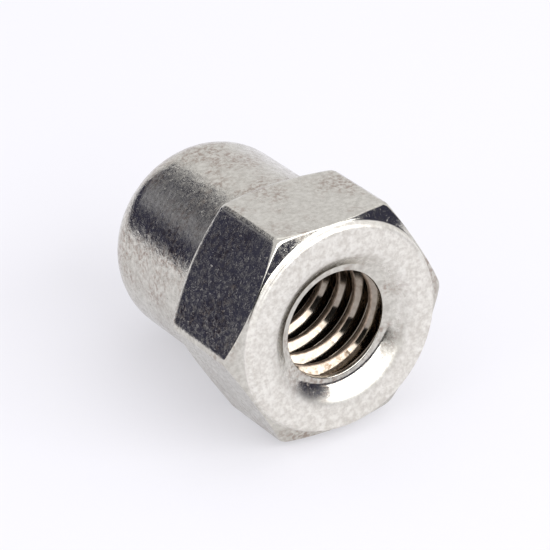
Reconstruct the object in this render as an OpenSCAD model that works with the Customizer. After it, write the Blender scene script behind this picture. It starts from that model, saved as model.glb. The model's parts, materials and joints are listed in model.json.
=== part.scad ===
// Domed cap nut: a hexagon nut whose threaded hole is closed by a rounded cap,
// cold-formed in one piece from stainless steel. It lies on one flat, tipped back
// until its cap touches the ground, as such a nut comes to rest.
// The origin is the centre of the threaded mouth. +Z is up, and the nut's axis runs
// along Y with the mouth at -Y, raised by the tip of the nut. All sizes are in mm.

/* [Hexagon] */
// Width across two opposite flats
across_flats = 10.2; // [9.8:0.1:13]
// Height from the bearing face to the rear end of the flats, at their middle
hex_height = 5.4; // [3.5:0.1:7]
// How far each corner is blunted, measured from the sharp corner
corner_blunting = 0.07; // [0.05:0.01:0.3]
// Angle of the chamfer that trims the corners round the bearing face
front_chamfer_angle = 22; // [10:1:30]
// Angle of the chamfer that runs from the flats to the cap
rear_chamfer_angle = 30; // [20:1:40]
// Radius that rounds the rear edges of the flats
rear_rounding = 0.6; // [0.2:0.05:0.7]

/* [Bearing face] */
// How far the raised bearing face stays inside the flats
face_margin = 0.06; // [0.02:0.02:0.5]
// Height of the raised bearing face above the chamfer
face_height = 0.36; // [0.1:0.02:0.6]
// Radius of the rounded rim of the bearing face
face_rounding = 0.34; // [0.06:0.02:0.5]

/* [Cap] */
// Outer diameter of the cap's straight wall
cap_diameter = 9.3; // [8:0.1:9.6]
// Height of the whole nut, from the bearing face to the top of the crown
overall_height = 13.8; // [12.5:0.1:16]
// Radius of the crown, the shallow top of the cap
crown_radius = 7.1; // [5.5:0.1:9]
// Radius of the knuckle that joins the crown to the straight wall
knuckle_radius = 2.2; // [1:0.1:3.5]
// Radius of the fillet where the cap leaves the hexagon
shoulder_fillet = 0.2; // [0.1:0.05:0.4]

/* [Threaded hole] */
// Minor diameter of the thread, the clear bore through its crests
bore_diameter = 5.1; // [4:0.1:6]
// Depth of the bore at its full diameter
bore_depth = 9.8; // [6:0.1:10.5]
// Included angle of the drill point at the bottom of the bore
drill_point_angle = 118; // [90:1:140]
// Diameter of the countersink at the bearing face
countersink_diameter = 6.86; // [6.2:0.02:8]
// Included angle of the countersink
countersink_angle = 108; // [90:1:130]

/* [Hidden] */
$fn = 96;
steel = [0.75, 0.73, 0.69];

// Distances from the axis
flat_radius = across_flats / 2;
sharp_corner = flat_radius / cos(30);
corner_radius = sharp_corner - corner_blunting;
face_radius = flat_radius - face_margin;
cap_radius = cap_diameter / 2;
bore_radius = bore_diameter / 2;
countersink_radius = countersink_diameter / 2;

// Heights at which the chamfers reach the corners, and the rear one the cap
front_corner = face_height + (corner_radius - face_radius) * tan(front_chamfer_angle);
rear_corner = hex_height - (corner_radius - flat_radius) * tan(rear_chamfer_angle);
shoulder_height = hex_height + (flat_radius - cap_radius) * tan(rear_chamfer_angle);

// The rear rounding leaves the flats here, and the rear chamfer cuts across it before it is done
rounding_start = hex_height - rear_rounding / 2;

// How far the fillet at the foot of the cap reaches along the chamfer and up the wall
fillet_reach = shoulder_fillet * tan((90 - rear_chamfer_angle) / 2);
fillet_end = shoulder_height + fillet_reach;

// The crown and the knuckle are tangent arcs: the knuckle's centre lies inside the crown
crown_centre = overall_height - crown_radius;
knuckle_offset = cap_radius - knuckle_radius;
knuckle_centre = crown_centre + sqrt(pow(crown_radius - knuckle_radius, 2) - pow(knuckle_offset, 2));
crown_half_angle = asin(knuckle_offset / (crown_radius - knuckle_radius));

// A fillet is no larger than the step that it rounds
rim_rounding = min(face_rounding, face_height);

// Cutting forms run past the faces that they cut
overrun = 1;

countersink_depth = (countersink_radius - bore_radius) / tan(countersink_angle / 2);
drill_point_depth = bore_radius / tan(drill_point_angle / 2);

// Lying down, the nut touches the ground with the rounded rear edge of a flat and with its knuckle.
// This is the angle of the line that touches both arcs.
contact_run = knuckle_centre - rounding_start;
contact_drop = flat_radius - rear_rounding - knuckle_offset;
rest_tilt = acos((knuckle_radius - rear_rounding) / norm([contact_run, contact_drop]))
    - atan2(contact_run, contact_drop);

// Half section of the round form that trims the hexagon: bearing face and both chamfers
module hexagon_limits() {
    difference() {
        polygon([
            [0, 0],
            [face_radius, 0],
            [face_radius, face_height],
            [corner_radius, front_corner],
            [corner_radius, rear_corner],
            [cap_radius, shoulder_height],
            [0, shoulder_height]
        ]);
        translate([face_radius - rim_rounding, 0])
            outside_corner(rim_rounding);
    }
}

// What a rounded rim of the given radius leaves off a square corner
module outside_corner(radius) {
    difference() {
        translate([0, -radius])
            square(2 * radius);
        translate([0, radius])
            circle(radius);
    }
}

// Two opposite flats as a slab across the nut, with their rear edges rounded
module flat_pair() {
    rotate([90, 0, 0])
        linear_extrude(2 * across_flats, center = true)
            difference() {
                translate([-flat_radius, -overrun])
                    square([across_flats, rounding_start + rear_rounding + overrun]);
                for (side = [0, 1])
                    mirror([side, 0])
                        translate([flat_radius - rear_rounding, rounding_start + rear_rounding])
                            mirror([0, 1])
                                outside_corner(rear_rounding);
            }
}

// The hexagon: three pairs of flats, trimmed round the axis
module hexagon() {
    intersection() {
        rotate(30) flat_pair();
        rotate(90) flat_pair();
        rotate(150) flat_pair();
        rotate_extrude() hexagon_limits();
    }
}

// Half section of the fillet between the rear chamfer and the cap's wall
module shoulder_section() {
    difference() {
        polygon([
            [cap_radius - shoulder_fillet, shoulder_height - shoulder_fillet],
            [
                cap_radius + fillet_reach * cos(rear_chamfer_angle),
                shoulder_height - fillet_reach * sin(rear_chamfer_angle)
            ],
            [cap_radius + shoulder_fillet, fillet_end],
            [cap_radius - shoulder_fillet, fillet_end]
        ]);
        translate([cap_radius + shoulder_fillet, fillet_end])
            circle(shoulder_fillet);
    }
}

// Half section of the cap: straight wall, knuckle, crown and the fillet at its foot
module cap_section() {
    translate([0, rear_corner])
        square([cap_radius, knuckle_centre - rear_corner]);
    intersection() {
        translate([knuckle_offset, knuckle_centre])
            circle(knuckle_radius);
        square([cap_radius, overall_height]);
    }
    intersection() {
        translate([0, crown_centre])
            circle(crown_radius);
        reach = 2 * crown_radius;
        polygon([
            [0, crown_centre],
            [reach * sin(crown_half_angle), crown_centre + reach * cos(crown_half_angle)],
            [0, crown_centre + reach]
        ]);
    }
    shoulder_section();
}

// Half section of the hole: countersink, bore and drill point
module hole_section() {
    polygon([
        [0, -overrun],
        [countersink_radius + overrun * tan(countersink_angle / 2), -overrun],
        [bore_radius, countersink_depth],
        [bore_radius, bore_depth],
        [0, bore_depth + drill_point_depth]
    ]);
}

// The nut about its own axis, with its bearing face at zero height
module upright_nut() {
    difference() {
        union() {
            hexagon();
            rotate_extrude() cap_section();
        }
        rotate_extrude() hole_section();
    }
}

// The nut as it lies: its axis is laid along Y, then the mouth is raised
module cap_nut() {
    color(steel)
        rotate([-rest_tilt - 90, 0, 0])
            upright_nut();
}

cap_nut();
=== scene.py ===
# %% [markdown]
# # A domed cap nut in stainless steel
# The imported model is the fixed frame: one solid, with its origin at the centre of the threaded mouth.
# Everything here is in metres, in that same frame. The record gives the direction that the mouth faces
# and the radius of the bore, so the detailed nut below lands on the solid that it stands for.

# %% Load the frame
import cmath
import json
import math

import bmesh
import bpy
from mathutils import Matrix, Vector


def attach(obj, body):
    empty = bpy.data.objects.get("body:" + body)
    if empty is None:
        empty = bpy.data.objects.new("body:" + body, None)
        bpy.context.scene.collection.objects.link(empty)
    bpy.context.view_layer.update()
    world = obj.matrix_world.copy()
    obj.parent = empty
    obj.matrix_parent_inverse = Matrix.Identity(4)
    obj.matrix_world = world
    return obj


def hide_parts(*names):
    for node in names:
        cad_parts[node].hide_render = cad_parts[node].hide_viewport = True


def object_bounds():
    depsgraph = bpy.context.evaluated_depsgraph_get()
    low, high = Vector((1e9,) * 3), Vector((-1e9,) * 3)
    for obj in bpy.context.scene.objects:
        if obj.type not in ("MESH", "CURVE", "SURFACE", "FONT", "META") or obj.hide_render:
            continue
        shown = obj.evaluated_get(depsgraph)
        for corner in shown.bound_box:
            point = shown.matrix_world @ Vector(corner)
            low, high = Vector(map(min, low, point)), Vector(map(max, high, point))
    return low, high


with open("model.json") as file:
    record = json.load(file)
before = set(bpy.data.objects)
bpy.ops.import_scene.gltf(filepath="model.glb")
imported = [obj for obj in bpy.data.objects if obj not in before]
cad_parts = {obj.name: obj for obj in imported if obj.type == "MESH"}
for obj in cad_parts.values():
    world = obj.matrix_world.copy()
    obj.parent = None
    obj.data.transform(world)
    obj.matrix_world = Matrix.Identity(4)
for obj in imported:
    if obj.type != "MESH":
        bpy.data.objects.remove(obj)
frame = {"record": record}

MM = 0.001
cad_low, cad_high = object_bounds()
mounts = {mount["name"]: mount for mount in frame["record"]["mounts"]}
mouth_axis = Vector(mounts["bearing_face"]["axis"]).normalized()
rest_tilt = math.atan2(mouth_axis.z, -mouth_axis.y)
print("CAD box in mm:", [round(side / MM, 2) for side in cad_high - cad_low])
print("The nut rests tipped back by", round(math.degrees(rest_tilt), 2), "degrees")

# %% [markdown]
# ## The camera
# A camera can be placed by eye, or worked out from the picture. Here the nut's corners and circles were
# matched to the photograph, which gives the two viewing angles and where the mouth's centre lies in front
# of the lens: so far right, so far down and so far away. A long lens keeps the hexagon's sides parallel.

# %% Place the camera
image_width = 550
focal_pixels = 3500
sensor_width = 36
camera_azimuth = math.radians(-32.93)
camera_elevation = math.radians(31.28)
mouth_right = 2.979 * MM
mouth_down = 2.384 * MM
mouth_away = 153.16 * MM

camera = bpy.data.objects.new("camera", bpy.data.cameras.new("camera"))
bpy.context.scene.collection.objects.link(camera)
camera.data.sensor_width = sensor_width
camera.data.lens = sensor_width * focal_pixels / image_width
camera.data.clip_start = mouth_away / 10
camera.rotation_euler = (math.pi / 2 - camera_elevation, 0, camera_azimuth)
camera.location = -(camera.rotation_euler.to_matrix() @ Vector((mouth_right, -mouth_down, -mouth_away)))
bpy.context.scene.camera = camera
print("Camera at", [round(value / MM, 1) for value in camera.location], "mm")
print("Lens:", round(camera.data.lens), "mm")

# %% [markdown]
# ## Drawing rounded outlines
# A section through the nut is a chain of straight lines and arcs. The editor would bevel a wire for this.
# Here the chain is worked out from its corners, because the same number of points is then made at every
# angle, which a later step needs. A point is a complex number, radius + height * 1j, since multiplying
# by a complex number of length one turns it. A holding point on each side of an arc keeps flat faces flat.

# %% Outline helpers
arc_steps = 6
holding_distance = 0.03 * MM


def arc(centre, start, turn, steps):
    """Points from start round the centre, through the given turn."""
    return [centre + (start - centre) * cmath.rect(1, turn * step / steps) for step in range(steps + 1)]


def rounded(corners):
    """The outline through corners of (point, rounding). Roundings shrink where a side is too short."""
    points = [point for point, rounding in corners]
    sides = [after - before for before, after in zip(points, points[1:])]
    headings = [side / abs(side) for side in sides]
    turns = [cmath.phase(after / before) for before, after in zip(sides, sides[1:])]
    tangents = [math.tan(abs(turn) / 2) for turn in turns]
    reaches = [rounding * tangent for (_, rounding), tangent in zip(corners[1:], tangents)]
    ends = [0, *reaches, 0]
    fits = [
        min(abs(side) / (first + second + 2 * holding_distance), 1)
        for side, first, second in zip(sides, ends, ends[1:])
    ]
    outline = [points[0]]
    for index, turn in enumerate(turns):
        share = min(fits[index], fits[index + 1])
        reach = reaches[index] * share
        hold = holding_distance * share
        corner = points[index + 1]
        start = corner - headings[index] * reach
        centre = start + headings[index] * 1j * math.copysign(reach / tangents[index], turn)
        outline.append(start - headings[index] * hold)
        outline += arc(centre, start, turn, arc_steps)
        outline.append(corner + headings[index + 1] * (reach + hold))
    return outline + [points[-1]]


print("A rounded corner has", arc_steps + 3, "points")

# %% [markdown]
# ## The sizes of the nut
# The radius across the corners and the bore come from the frame. The hexagon and the cap repeat the
# solid's own sizes, so that the two agree. The raised face, its rim and the countersink are drawn a little
# finer than the solid has them. A cold-formed nut has no knife edges: the roundings say how far tumbling
# has softened each of its edges.

# %% Name the sizes
corner_radius = (cad_high.x - cad_low.x) / 2
bore_radius = mounts["thread"]["dims"]["r_mm"] * MM
flat_radius = 5.1 * MM
hex_height = 5.4 * MM
front_slope = math.tan(math.radians(22))
rear_slope = math.tan(math.radians(30))
face_radius = 5.02 * MM
face_height = 0.33 * MM
rim_width = 0.14 * MM
cap_radius = 4.65 * MM
overall_height = 13.8 * MM
crown_radius = 7.1 * MM
knuckle_radius = 2.2 * MM
countersink_radius = 3.6 * MM
land_radius = 2.86 * MM
land_depth = 0.5 * MM
lip_depth = 0.57 * MM
mouth_depth = 0.75 * MM

lip_rounding = 0.06 * MM
land_rounding = 0.5 * MM
mouth_rounding = 0.9 * MM
face_rounding = 0.25 * MM
foot_rounding = 0.2 * MM
rear_rounding = 0.6 * MM
shoulder_rounding = 0.2 * MM
front_rounding_share = 0.42
print("Across the corners:", round(2 * corner_radius / MM, 2), "mm")
print("Bore:", round(2 * bore_radius / MM, 2), "mm")

# %% [markdown]
# ## The section of the nut at any angle
# A nut can be made from a hexagonal bar that is trimmed by Boolean cuts, but the edges that cuts leave are
# hard to round. Here a section is drawn whose wall changes with the angle, from the blunted ridge at a
# corner of the hexagon to the middle of a flat. The two chamfers are cones, so where the wall is nearer to
# the axis it meets them nearer to the ends, which draws the curved ends of the flats. The front edge is
# rounded more where the slope beside it is longer, so it is crisp at mid-flat and soft at the corners.

# %% The section function
crown_centre = (overall_height - crown_radius) * 1j
crown_steps = 10
knuckle_offset = cap_radius - knuckle_radius
knuckle_height = crown_centre.imag + math.sqrt((crown_radius - knuckle_radius) ** 2 - knuckle_offset**2)
knuckle_centre = complex(knuckle_offset, knuckle_height)
knuckle_steps = 16
crown_turn = math.asin(knuckle_offset / (crown_radius - knuckle_radius))
sixth = math.pi / 3


def wall_radius(angle):
    """Distance from the axis to the hexagon's side, at an angle from its blunted ridge."""
    return min(flat_radius / math.cos(sixth / 2 - angle), corner_radius)


def section(angle):
    """Half section from the lip of the hole over the hexagon to the top of the cap."""
    wall = wall_radius(angle)
    front_rounding = front_rounding_share * (wall - face_radius) ** 2 / (corner_radius - face_radius)
    hexagon = rounded([
        (complex(bore_radius, mouth_depth), 0),
        (complex(bore_radius, lip_depth), lip_rounding),
        (complex(land_radius, land_depth), land_rounding),
        (complex(countersink_radius, 0), mouth_rounding),
        (complex(face_radius - rim_width, 0), face_rounding),
        (complex(face_radius, face_height), foot_rounding),
        (complex(wall, face_height + (wall - face_radius) * front_slope), front_rounding),
        (complex(wall, hex_height - (wall - flat_radius) * rear_slope), rear_rounding),
        (complex(cap_radius, hex_height + (flat_radius - cap_radius) * rear_slope), shoulder_rounding),
        (complex(cap_radius, knuckle_height), 0),
    ])
    knuckle = arc(knuckle_centre, hexagon[-1], math.pi / 2 - crown_turn, knuckle_steps)
    crown = arc(crown_centre, knuckle[-1], crown_turn, crown_steps)
    return hexagon + knuckle[1:] + crown[1:]


print("Each section has", len(section(0)), "points")

# %% [markdown]
# ## The outside of the nut
# The outside repeats twelve times: a half of each flat. Only that wedge is built. Sections are drawn side
# by side, closer together towards the ridge where the form turns fastest, and bridge_loops skins each one
# to the next. A mirror gives the whole corner, and spin copies it round the axis. The copies meet edge to
# edge, so merging doubles closes every seam, and the pole of the cap with them.

# %% Build the outside
sections_per_wedge = 18
corner_copies = 5
merge_distance = 0.0005 * MM


def chain(mesh, points, angle):
    """A section's points as a chain of edges, standing at an angle about the axis."""
    turn = cmath.rect(1, angle)
    verts = [mesh.verts.new((p.real * turn.real, p.real * turn.imag, p.imag)) for p in points]
    return [mesh.edges.new(pair) for pair in zip(verts, verts[1:])]


def everything(mesh):
    """All that a mesh has, as the operators take it."""
    return mesh.verts[:] + mesh.edges[:] + mesh.faces[:]


def outside_of_nut():
    """The nut's skin, standing on its bearing face, with only the mouth left open."""
    mesh = bmesh.new()
    angles = [sixth / 2 * (step / sections_per_wedge) ** 2 for step in range(sections_per_wedge + 1)]
    chains = [chain(mesh, section(angle), angle) for angle in angles]
    for near, far in zip(chains, chains[1:]):
        bmesh.ops.bridge_loops(mesh, edges=near + far)
    bmesh.ops.mirror(mesh, geom=everything(mesh), axis="Y", merge_dist=merge_distance)
    bmesh.ops.spin(
        mesh,
        geom=everything(mesh),
        axis=(0, 0, 1),
        angle=corner_copies * sixth,
        steps=corner_copies,
        use_duplicate=True,
    )
    bmesh.ops.remove_doubles(mesh, verts=mesh.verts[:], dist=merge_distance)
    return mesh


def describe(name, mesh):
    """Prints how many triangles a mesh makes and how many of its edges aren't closed."""
    triangles = sum(len(face.verts) - 2 for face in mesh.faces)
    open_edges = sum(not edge.is_manifold for edge in mesh.edges)
    print(name, "has", triangles, "triangles and", open_edges, "open edges")


outside = outside_of_nut()
describe("The outside", outside)

# %% [markdown]
# ## A front that leans
# The tools that trimmed the front of this nut stood a little askew: its chamfer is deeper on one side than
# on the other, and so is its countersink. Turning the whole front would tip the bearing face as well, which
# is flat. So the finished points move along the axis instead, as far as a leaning plane would take them,
# which is a cosine round the nut. The move fades out towards the bearing face.

# %% Lean the front
lean_depth = 0.2 * MM
lean_angle = math.radians(30)
sink_end = 3.9 * MM
sink_lean_share = 0.5


def faded(value, start, end):
    """Rises evenly from nothing at the start to one at the end."""
    return min(max((value - start) / (end - start), 0), 1)


def lean_front(mesh):
    """Leans the chamfer and the countersink to one side. The bearing face between them stays flat."""
    rim_start = face_radius - rim_width
    for vert in mesh.verts:
        place = complex(vert.co.x, vert.co.y)
        distance = abs(place)
        lean = lean_depth * math.cos(cmath.phase(place) - lean_angle)
        if vert.co.z < mouth_depth and distance < sink_end:
            share = faded(distance, sink_end, land_radius)
            vert.co.z += share**2 * (3 - 2 * share) * sink_lean_share * lean
        elif vert.co.z < hex_height / 2 and distance > rim_start:
            vert.co.z += faded(distance, rim_start, face_radius) * lean


lean_front(outside)
print("The chamfer leans by", round(lean_depth / MM, 2), "mm each way")

# %% [markdown]
# ## The outline of the thread
# A tapped hole is one groove wound round the bore, with flanks at about sixty degrees to each other, a
# narrow crest and a rounded root. A bump map could fake it from far away, but this nut is looked at down
# its hole, where the crests hide the roots behind them, so the groove is real. One pitch of it is drawn
# with the same helper as the section.

# %% One pitch of the thread
thread_pitch = 1.27 * MM
thread_major_radius = 3.175 * MM
flank_angle = math.radians(29)
crest_width = 0.2 * MM
crest_rounding = 0.07 * MM
root_rounding = 0.1 * MM


def thread_outline():
    """The groove in section, from the middle of one crest to the middle of the next."""
    crest_end = crest_width / 2
    root_start = crest_end + (thread_major_radius - bore_radius) * math.tan(flank_angle)
    return rounded([
        (complex(bore_radius, 0), 0),
        (complex(bore_radius, crest_end), crest_rounding),
        (complex(thread_major_radius, root_start), root_rounding),
        (complex(thread_major_radius, thread_pitch - root_start), root_rounding),
        (complex(bore_radius, thread_pitch - crest_end), crest_rounding),
        (complex(bore_radius, thread_pitch), 0),
    ])


print("The groove has", len(thread_outline()), "points")

# %% [markdown]
# ## Winding the thread
# A Screw modifier could wind the outline, but spin does the same when it is given a step along the axis.
# The outline is wound right-handed through one turn, and copies of that turn are stacked from in front of
# the mouth to the bottom. The groove fades in below the lip of the hole. Near the bottom it runs out, as
# the tap's first teeth leave it. What stands past either end is cut off with bisect_plane, and two
# extrusions add the plain end of the bore and the drill's point.

# %% Thread helpers
lead_start = 0.8 * MM
lead_end = 1.1 * MM
runout_start = 8.0 * MM
runout_end = 9.2 * MM


def fade_groove(mesh):
    """Fades the groove in below the mouth and out towards the bottom."""
    for vert in mesh.verts:
        radius = math.hypot(vert.co.x, vert.co.y)
        share = min(faded(vert.co.z, lead_start, lead_end), faded(vert.co.z, runout_end, runout_start))
        scale = (bore_radius + (radius - bore_radius) * share) / radius
        vert.co.x *= scale
        vert.co.y *= scale


def of_kind(geom, kind):
    """The items of one kind among what an operator returns."""
    return [item for item in geom if isinstance(item, kind)]


def trimmed(mesh, height, side):
    """Cuts the mesh at a height and keeps the part on one side. Returns the edges of the cut."""
    cut = bmesh.ops.bisect_plane(
        mesh,
        geom=everything(mesh),
        plane_co=(0, 0, height),
        plane_no=(0, 0, side),
        dist=merge_distance,
        clear_outer=True,
    )
    return of_kind(cut["geom_cut"], bmesh.types.BMEdge)


def drilled_on(mesh, ring, height, scale):
    """Extrudes a ring of edges to a height, scaled about the axis. Returns the new ring."""
    geom = bmesh.ops.extrude_edge_only(mesh, edges=ring)["geom"]
    for vert in of_kind(geom, bmesh.types.BMVert):
        vert.co = (vert.co.x * scale, vert.co.y * scale, height)
    return of_kind(geom, bmesh.types.BMEdge)


print("The groove runs out over", round((runout_end - runout_start) / MM, 2), "mm")

# %% Wind the thread
steps_per_turn = 80
thread_copies = 11
first_crest = 0.45 * MM
thread_start = first_crest - 2 * thread_pitch
mouth_band = 0.02 * MM
bore_depth = 9.8 * MM
drill_point_angle = math.radians(118)
drill_point_depth = bore_radius / math.tan(drill_point_angle / 2)


def threaded_hole():
    """The wall of the hole from just inside its mouth to the drill's point."""
    mesh = bmesh.new()
    start = [point + thread_start * 1j for point in thread_outline()]
    bmesh.ops.spin(
        mesh,
        geom=chain(mesh, start, 0) + mesh.verts[:],
        axis=(0, 0, 1),
        dvec=(0, 0, thread_pitch / steps_per_turn),
        angle=2 * math.pi,
        steps=steps_per_turn,
    )
    bmesh.ops.spin(
        mesh,
        geom=everything(mesh),
        axis=(0, 0, 1),
        dvec=(0, 0, thread_pitch),
        angle=0,
        steps=thread_copies,
        use_duplicate=True,
    )
    bmesh.ops.remove_doubles(mesh, verts=mesh.verts[:], dist=merge_distance)
    fade_groove(mesh)
    trimmed(mesh, mouth_depth + mouth_band, -1)
    thread_end = trimmed(mesh, runout_end, 1)
    bore_end = drilled_on(mesh, thread_end, bore_depth, 1)
    drilled_on(mesh, bore_end, bore_depth + drill_point_depth, 0)
    bmesh.ops.remove_doubles(mesh, verts=mesh.verts[:], dist=merge_distance)
    return mesh


hole = threaded_hole()
describe("The hole", hole)

# %% [markdown]
# ## One closed piece
# The real nut is one piece of steel, so the skin and the hole become one mesh. The hole's faces take the
# second material. The skin and the hole each end in a ring at the mouth. Filling between the rings needs
# one to lie clear inside the other, and these nearly coincide, so bridge_loops joins them instead. It
# manages even though the rings don't have the same number of points.

# %% Join the skin and the hole
def joined(outside, hole):
    """One closed mesh of the two. The two themselves are freed."""
    for face in hole.faces:
        face.material_index = 1
    nut = bmesh.new()
    for part in (outside, hole):
        carrier = bpy.data.meshes.new("carrier")
        part.to_mesh(carrier)
        part.free()
        nut.from_mesh(carrier)
        bpy.data.meshes.remove(carrier)
    rings = [edge for edge in nut.edges if edge.is_boundary]
    bmesh.ops.bridge_loops(nut, edges=rings)
    bmesh.ops.recalc_face_normals(nut, faces=nut.faces[:])
    for face in nut.faces:
        face.smooth = True
    return nut


nut = joined(outside, hole)
describe("The nut", nut)

# %% [markdown]
# ## Laying the nut down
# So far the nut stands on its bearing face, which made it easy to build. It is laid down as it rests: its
# axis goes along Y, and the mouth rises by the tip of the nut. An object could be turned for this, but here
# the mesh itself is turned, so that the object stays at the origin like the solid that it stands for.

# %% Lay the nut down and place it
lying = Matrix.Rotation(-rest_tilt - math.pi / 2, 4, "X")
bmesh.ops.transform(nut, matrix=lying, verts=nut.verts[:])
nut_mesh = bpy.data.meshes.new("steel_cap_nut")
nut.to_mesh(nut_mesh)
nut.free()
steel_nut = bpy.data.objects.new("steel_cap_nut", nut_mesh)
bpy.context.scene.collection.objects.link(steel_nut)
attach(steel_nut, "root")
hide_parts("cap_nut")
print("Lying size in mm:", [round(side / MM, 2) for side in steel_nut.dimensions])

# %% [markdown]
# ## Helpers for nodes
# A material is a tree of nodes. In the editor each node is added and linked by hand, which is easy to try
# out but hard to repeat. The finishes below are alike, so helpers build what they share: a node with its
# settings, a soft step between two levels, a sum or a product, and a blend of two colours or values.

# %% Node helpers
column_width = 220
row_height = 200


def add_node(tree, kind, place, **settings):
    """A new node in a column and a row of the tree, with inputs or properties set by name."""
    node = tree.nodes.new(kind)
    node.location = (place[0] * column_width, place[1] * row_height)
    for name, value in settings.items():
        if name in node.inputs:
            node.inputs[name].default_value = value
        else:
            setattr(node, name, value)
    return node


def feed(tree, socket, value):
    """Gives a socket another node's output, a fixed value or a fixed colour."""
    if isinstance(value, bpy.types.NodeSocket):
        tree.links.new(value, socket)
    else:
        socket.default_value = (*value, 1) if isinstance(value, tuple) else value


def ramp(tree, place, value, low, high):
    """A soft step from nothing at one level to one at another."""
    node = add_node(tree, "ShaderNodeMapRange", place, interpolation_type="SMOOTHSTEP")
    node.inputs["From Min"].default_value = low
    node.inputs["From Max"].default_value = high
    tree.links.new(value, node.inputs["Value"])
    return node.outputs["Result"]


def calculated(tree, place, operation, first, second):
    """The result of one operation on two values."""
    node = add_node(tree, "ShaderNodeMath", place, operation=operation)
    for socket, value in zip(node.inputs, (first, second)):
        feed(tree, socket, value)
    return node.outputs["Value"]


def blend(tree, place, mask, first, second):
    """A colour or a value between two others. Either may be a fixed one or another node's."""
    kind = "FLOAT" if isinstance(second, float) else "RGBA"
    node = add_node(tree, "ShaderNodeMix", place, data_type=kind)
    sockets = [socket for socket in node.inputs if socket.enabled]
    for socket, value in zip(sockets, (mask, first, second)):
        feed(tree, socket, value)
    return next(socket for socket in node.outputs if socket.enabled)


def new_material(name, settings):
    """A material and its shader, with some of the shader's inputs set."""
    material = bpy.data.materials.new(name)
    material.use_nodes = True
    shader = material.node_tree.nodes["Principled BSDF"]
    for socket, value in settings.items():
        feed(material.node_tree, shader.inputs[socket], value)
    return material, shader


print("Nodes are built for Blender", bpy.app.version_string)

# %% [markdown]
# ## The skin of the steel
# Stainless steel is pale, warm and grey. Barrel tumbling leaves it shiny but pitted all over, with hazy
# patches and brownish smudges. A photograph could be wrapped round it, but noise in Object coordinates
# follows the solid itself, has no seams and works from any side. A node group makes three masks and a
# relief from it, which the outside and the cut thread both use with their own values.

# %% A node group for tumbled steel
noise_roughness = 0.68
wave_share = 4


def noise_mask(tree, vector, row, scale, detail, low, high):
    """Noise of a given scale per metre, as a soft mask between two levels."""
    noise = add_node(
        tree, "ShaderNodeTexNoise", (1, row), Scale=scale, Detail=detail, Roughness=noise_roughness
    )
    tree.links.new(vector, noise.inputs["Vector"])
    return ramp(tree, (2, row), noise.outputs["Fac"], low, high)


def tumbled_skin_group():
    """Masks for mottling, stains and pits, and the relief of pits, grain and long waves."""
    group = bpy.data.node_groups.new("tumbled_skin", "ShaderNodeTree")
    group.interface.new_socket("Vector", in_out="INPUT", socket_type="NodeSocketVector")
    for name in ("Tone", "Stain", "Pits", "Height"):
        group.interface.new_socket(name, in_out="OUTPUT", socket_type="NodeSocketFloat")
    vector = add_node(group, "NodeGroupInput", (0, 0)).outputs["Vector"]
    sink = add_node(group, "NodeGroupOutput", (6, 0))

    waves = noise_mask(group, vector, row=4, scale=1500, detail=2, low=0.2, high=0.8)
    broad_pits = noise_mask(group, vector, row=3, scale=6000, detail=6, low=0.6, high=0.72)
    grain = noise_mask(group, vector, row=2, scale=10000, detail=3, low=0.25, high=0.75)
    fine_pits = noise_mask(group, vector, row=1, scale=12000, detail=4, low=0.64, high=0.74)
    mottle = noise_mask(group, vector, row=0, scale=4000, detail=8, low=0.34, high=0.66)
    patches = noise_mask(group, vector, row=-1, scale=330, detail=3, low=0.45, high=0.62)
    specks = noise_mask(group, vector, row=-2, scale=5000, detail=5, low=0.42, high=0.64)

    pits = calculated(group, (3, 2), "MAXIMUM", fine_pits, broad_pits)
    stain = calculated(group, (3, -1), "MULTIPLY", patches, specks)
    rough = calculated(group, (4, 2), "SUBTRACT", grain, pits)
    broad = calculated(group, (4, 4), "MULTIPLY", waves, wave_share)
    height = calculated(group, (5, 1), "ADD", rough, broad)
    for name, value in (("Tone", mottle), ("Stain", stain), ("Pits", pits), ("Height", height)):
        group.links.new(value, sink.inputs[name])
    return group


tumbled_skin = tumbled_skin_group()
print("Node group", tumbled_skin.name, "with", len(tumbled_skin.nodes), "nodes")

# %% [markdown]
# ## Where the tools have marked the steel
# The press struck the bearing face, so it is matt, and it smoothed all that looks the same way as the mouth.
# The face's paler colour is partly that pressed finish and partly painted light, for the light it catches.
# In the hole the drill left the crests of the thread dull, while the tap cut the groove between them
# bright. A material for each would end in hard lines. Instead masks are worked out from the place itself,
# its height along the nut's axis and its distance from it, and from the way it faces.

# %% Masks for the face, the front and the crests
press_depth = 0.75 * MM
press_fade = 0.15 * MM
matt_and_light_inner_radius = 2.6 * MM
matt_and_light_full_radius = 4.1 * MM
rim_fade = 0.05 * MM
crest_fade_start = 0.02 * MM
crest_fade_end = 0.08 * MM
side_facing = 0.2
front_facing = 0.6


def along_axis(tree, place, vector):
    """How far a vector points the way of the mouth."""
    node = add_node(tree, "ShaderNodeVectorMath", place, operation="DOT_PRODUCT")
    node.inputs[1].default_value = mouth_axis
    tree.links.new(vector, node.inputs[0])
    return node.outputs["Value"]


def distance_from_axis(tree, vector, height):
    """How far a place lies from the nut's axis, from its height along that axis."""
    along = add_node(tree, "ShaderNodeVectorMath", (-5, -3), operation="SCALE")
    along.inputs[0].default_value = mouth_axis
    across = add_node(tree, "ShaderNodeVectorMath", (-4, -3), operation="DISTANCE")
    tree.links.new(height, along.inputs["Scale"])
    tree.links.new(vector, across.inputs[0])
    tree.links.new(along.outputs["Vector"], across.inputs[1])
    return across.outputs["Value"]


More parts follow.
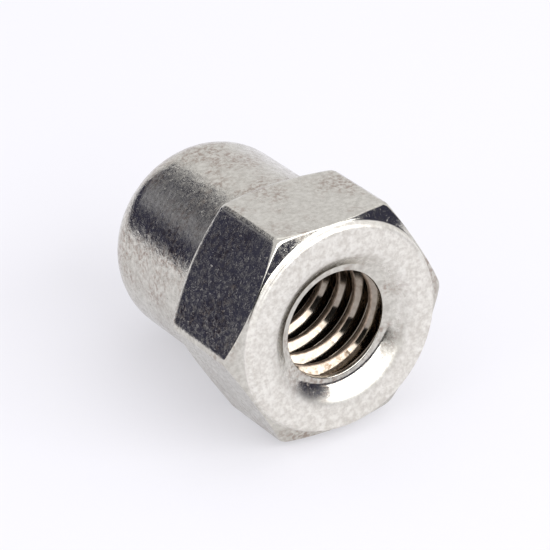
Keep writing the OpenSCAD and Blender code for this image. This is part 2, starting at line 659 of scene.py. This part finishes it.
def pressed_and_painted_light_mask(tree, vector):
    """One on the bearing face, less down the countersink, and nothing on the chamfer or the cap. On the face
    it brings the matt finish and a paler colour that is partly painted light.
    """
    height = along_axis(tree, (-6, -3), vector)
    distance = distance_from_axis(tree, vector, height)
    near_front = ramp(tree, (-3, -3), height, -press_depth - press_fade, -press_depth)
    outside_hole = ramp(tree, (-3, -4), distance, matt_and_light_inner_radius, matt_and_light_full_radius)
    inside_rim = ramp(tree, (-3, -5), distance, face_radius + rim_fade, face_radius - rim_fade)
    face = calculated(tree, (-2, -4), "MULTIPLY", outside_hole, inside_rim)
    return calculated(tree, (-1, -3), "MULTIPLY", near_front, face)


def crest_mask(tree, vector):
    """One on the crests of the thread and nothing in its groove."""
    distance = distance_from_axis(tree, vector, along_axis(tree, (-6, -3), vector))
    return ramp(tree, (-3, -3), distance, bore_radius + crest_fade_end, bore_radius + crest_fade_start)


def front_mask(tree, normal):
    """One where the surface faces the way of the mouth, and nothing on the flats and the cap."""
    return ramp(tree, (-5, -1), along_axis(tree, (-6, -1), normal), side_facing, front_facing)


print("The face is", round(2 * face_radius / MM, 1), "mm across")

# %% [markdown]
# ## Two finishes from one group
# Each finish mixes its own colours by the masks of the group. The gloss goes with the mottling, so a
# reflection breaks up into bright and hazy specks, and it is dull in the pits. On what faces the front both
# the haze and the relief are calmer. The outside is pale. The thread was cut after tumbling, so it is
# smoother, and its colours are darker and browner than the outside's. Two trees could be built by hand,
# but one function keeps the finishes alike.

# %% Build a steel from its values
side_relief = 1.0
front_relief = 0.22


def steel(name, tones, roughness, matt, relief_depth):
    """A steel with tumbled skin, and with a matt finish where that one's mask says; on the bearing face the
    matt colour is partly painted light.
    """
    material, shader = new_material(name, {"Metallic": 1})
    tree = material.node_tree
    coordinates = add_node(tree, "ShaderNodeTexCoord", (-7, 0)).outputs
    group = add_node(tree, "ShaderNodeGroup", (-5, 0), node_tree=tumbled_skin)
    tree.links.new(coordinates["Object"], group.inputs["Vector"])
    skin = group.outputs
    front = front_mask(tree, coordinates["Normal"])
    matt_and_painted_light_share = matt["mask"](tree, coordinates["Object"])

    colour = blend(tree, (-4, 1), skin["Tone"], tones["deep"], tones["pale"])
    colour = blend(tree, (-3, 1), skin["Stain"], colour, tones["stained"])
    matt_and_painted_light_colour = blend(tree, (-3, 2), skin["Tone"], matt["deep"], matt["pale"])
    colour = blend(tree, (-1, 1), matt_and_painted_light_share, colour, matt_and_painted_light_colour)

    haze = blend(tree, (-4, -1), front, roughness["hazy"], roughness["hazy front"])
    gloss = blend(tree, (-3, 0), skin["Tone"], haze, roughness["bright"])
    gloss = blend(tree, (-2, 0), skin["Pits"], gloss, roughness["pits"])
    gloss = blend(tree, (-1, 0), matt_and_painted_light_share, gloss, matt["roughness"])

    relief = add_node(tree, "ShaderNodeBump", (-1, -1), Distance=relief_depth)
    feed(tree, relief.inputs["Strength"], blend(tree, (-2, -1), front, side_relief, front_relief))
    feed(tree, relief.inputs["Height"], skin["Height"])
    feed(tree, shader.inputs["Base Color"], colour)
    feed(tree, shader.inputs["Roughness"], gloss)
    feed(tree, shader.inputs["Normal"], relief.outputs["Normal"])
    return material


print("Relief of the front is", front_relief, "of the relief of the sides")

# %% Give each finish its values
tumbled_steel = steel(
    "tumbled_steel",
    tones={"pale": (0.68, 0.662, 0.6), "deep": (0.52, 0.503, 0.45), "stained": (0.36, 0.3, 0.255)},
    roughness={"bright": 0.05, "hazy": 0.29, "hazy front": 0.17, "pits": 0.6},
    matt={
        "mask": pressed_and_painted_light_mask,
        # On the bearing face this pale matt colour is partly painted light: paler than the steel, for the
        # light the face catches.
        "pale": (0.9, 0.88, 0.82),
        "deep": (0.68, 0.65, 0.59),
        "roughness": 0.48,
    },
    relief_depth=0.0028 * MM,
)
cut_thread_steel = steel(
    "cut_thread_steel",
    tones={"pale": (0.36, 0.318, 0.27), "deep": (0.29, 0.25, 0.205), "stained": (0.16, 0.12, 0.085)},
    roughness={"bright": 0.07, "hazy": 0.09, "hazy front": 0.09, "pits": 0.22},
    matt={
        "mask": crest_mask,
        "pale": (0.66, 0.54, 0.44),
        "deep": (0.36, 0.28, 0.215),
        "roughness": 0.65,
    },
    relief_depth=0.0005 * MM,
)
for finish in (tumbled_steel, cut_thread_steel):
    steel_nut.data.materials.append(finish)
print("Materials:", [material.name for material in steel_nut.data.materials])

# %% [markdown]
# ## The studio
# The nut lies on white card in a white tent, which is a plain white world. The card is diffuse, so it keeps
# the nut's soft shadow. A share of it is an even glow of its own, as on a light table, which only shows to
# the camera and in reflections: a white floor made by stronger lamps would burn out the steel as well.

# %% White world and floor
tent_colour = (0.98, 0.97, 1.0)
tent_light = 0.93
floor_colour = (0.848, 0.843, 0.88)
floor_glow = 0.5
floor_radius = 0.6
floor_sides = 64
floor_height = cad_low.z


def white_tent():
    """An even white world all round the set."""
    world = bpy.data.worlds.new("white_tent")
    world.use_nodes = True
    background = world.node_tree.nodes["Background"]
    background.inputs["Color"].default_value = (*tent_colour, 1)
    background.inputs["Strength"].default_value = tent_light
    return world


def seen_directly(tree):
    """A mask of the rays that show a surface: to the camera, in reflections and through glass."""
    rays = add_node(tree, "ShaderNodeLightPath", (0, 0)).outputs
    mirrored = calculated(tree, (1, 0), "MAXIMUM", rays["Is Camera Ray"], rays["Is Glossy Ray"])
    return calculated(tree, (2, 0), "MAXIMUM", mirrored, rays["Is Transmission Ray"])


def lit_card(name, colour, glow_share):
    """White card on a light table: a share of what is seen of it is its own even glow."""
    material, shader = new_material(name, {"Base Color": colour, "Roughness": 1, "Specular IOR Level": 0})
    tree = material.node_tree
    glow = add_node(tree, "ShaderNodeEmission", (3, -1), Color=(*colour, 1))
    mixed = add_node(tree, "ShaderNodeMixShader", (4, 0))
    share = calculated(tree, (3, 1), "MULTIPLY", seen_directly(tree), glow_share)
    for socket, value in zip(mixed.inputs, (share, shader.outputs["BSDF"], glow.outputs["Emission"])):
        tree.links.new(value, socket)
    tree.links.new(mixed.outputs["Shader"], tree.nodes["Material Output"].inputs["Surface"])
    return material


def stage_object(name, mesh, material):
    """A piece of the set, which isn't a part of the nut."""
    data = bpy.data.meshes.new(name)
    mesh.to_mesh(data)
    mesh.free()
    data.materials.append(material)
    thing = bpy.data.objects.new(name, data)
    bpy.context.scene.collection.objects.link(thing)
    return thing


bpy.context.scene.world = white_tent()
ground = Matrix.Translation((0, 0, floor_height))
floor_mesh = bmesh.new()
bmesh.ops.create_circle(floor_mesh, cap_ends=True, radius=floor_radius, segments=floor_sides, matrix=ground)
stage_object("white_card_floor", floor_mesh, lit_card("white_card", floor_colour, floor_glow))
print("Floor at", round(floor_height / MM, 2), "mm")

# %% [markdown]
# ## Dark cards
# Steel shows what is round it: with nothing dark to reflect it looks like plaster. So photographers stand
# dark cards round it, just out of the picture. These give the dark flat, the dark streak along the cap and
# the dark chamfers. Each is a strip of a wide cylinder about the nut, since the azimuth and the elevation of
# its edges then say what it covers. Only reflections see the cards, so they take no light from the floor.

# %% Stand the dark cards round the nut
card_distance = 0.12
card_steps = 24
card_black = (0.05, 0.05, 0.082)
card_grey = (0.34, 0.34, 0.38)
high_black = (0.06, 0.06, 0.08)
left_black = (0.012, 0.012, 0.012)
at_floor = math.degrees(math.atan2(floor_height, card_distance))


def dark_card(name, azimuths, elevations, colour):
    """A curved card between two azimuths and two elevations, in degrees, that only reflections see."""
    start, end = (math.radians(azimuth) for azimuth in azimuths)
    heights = [card_distance * math.tan(math.radians(elevation)) for elevation in elevations]
    mesh = bmesh.new()
    edge = chain(mesh, [complex(card_distance, height) for height in heights], start)
    bmesh.ops.spin(
        mesh, geom=edge + mesh.verts[:], axis=(0, 0, 1), angle=end - start, steps=card_steps
    )
    unlit = {"Base Color": (0, 0, 0), "Specular IOR Level": 0}
    material, _ = new_material(name, {**unlit, "Emission Color": colour, "Emission Strength": 1})
    card = stage_object(name, mesh, material)
    card.visible_camera = False
    card.visible_diffuse = False
    card.visible_shadow = False


dark_card("black_card_behind", azimuths=(92, 165), elevations=(at_floor, 16), colour=card_black)
dark_card("grey_card_behind", azimuths=(90, 165), elevations=(16, 27), colour=card_grey)
dark_card("black_card_high", azimuths=(87, 165), elevations=(27, 38), colour=high_black)
dark_card("black_card_left", azimuths=(235, 264), elevations=(at_floor, 12.5), colour=left_black)
dark_card("black_card_front", azimuths=(264, 284), elevations=(at_floor, 20), colour=card_black)
dark_card("black_card_mouth", azimuths=(284, 305), elevations=(at_floor, 17), colour=card_black)
dark_card("black_card_corner", azimuths=(305, 318), elevations=(at_floor, 14), colour=card_black)
dark_card("black_card_right", azimuths=(318, 350), elevations=(at_floor, 33), colour=card_black)

# %% [markdown]
# ## Lamps
# The tent alone lights the nut evenly. Soft boxes, which are wide area lamps, add the white gleams on the
# bearing face, the cap and the flanks of the thread. A spot lamp would give hard dots instead, since steel
# mirrors the shape of its lamp. Little of the front lamps falls on dull things, so the floor stays even.
# The Standard view shows each colour as it is written.

# %% Aim the soft boxes
lamp_distance = 0.4


def softbox(name, azimuth, elevation, width, height, power, floor_share):
    """An area lamp that faces the nut. The share says how much of it falls on dull things."""
    lamp = bpy.data.lights.new(name, "AREA")
    lamp.shape = "RECTANGLE"
    lamp.size = width
    lamp.size_y = height
    lamp.energy = power
    lamp.diffuse_factor = floor_share
    thing = bpy.data.objects.new(name, lamp)
    level = cmath.rect(math.cos(math.radians(elevation)), math.radians(azimuth))
    towards = Vector((level.real, level.imag, math.sin(math.radians(elevation))))
    thing.location = towards * lamp_distance
    thing.rotation_euler = towards.to_track_quat("Z", "Y").to_euler()
    bpy.context.scene.collection.objects.link(thing)


softbox("softbox_above", azimuth=40, elevation=66, width=0.3, height=0.3, power=0.14, floor_share=1)
softbox("softbox_front", azimuth=290, elevation=35, width=0.42, height=0.24, power=1.05, floor_share=0.15)
softbox("softbox_low", azimuth=255, elevation=19, width=0.12, height=0.15, power=0.15, floor_share=0.15)
softbox("softbox_left", azimuth=188, elevation=18, width=0.16, height=0.16, power=0.12, floor_share=1)
bpy.context.scene.view_settings.view_transform = "Standard"
print("Lamps:", [lamp.name for lamp in bpy.data.lights])
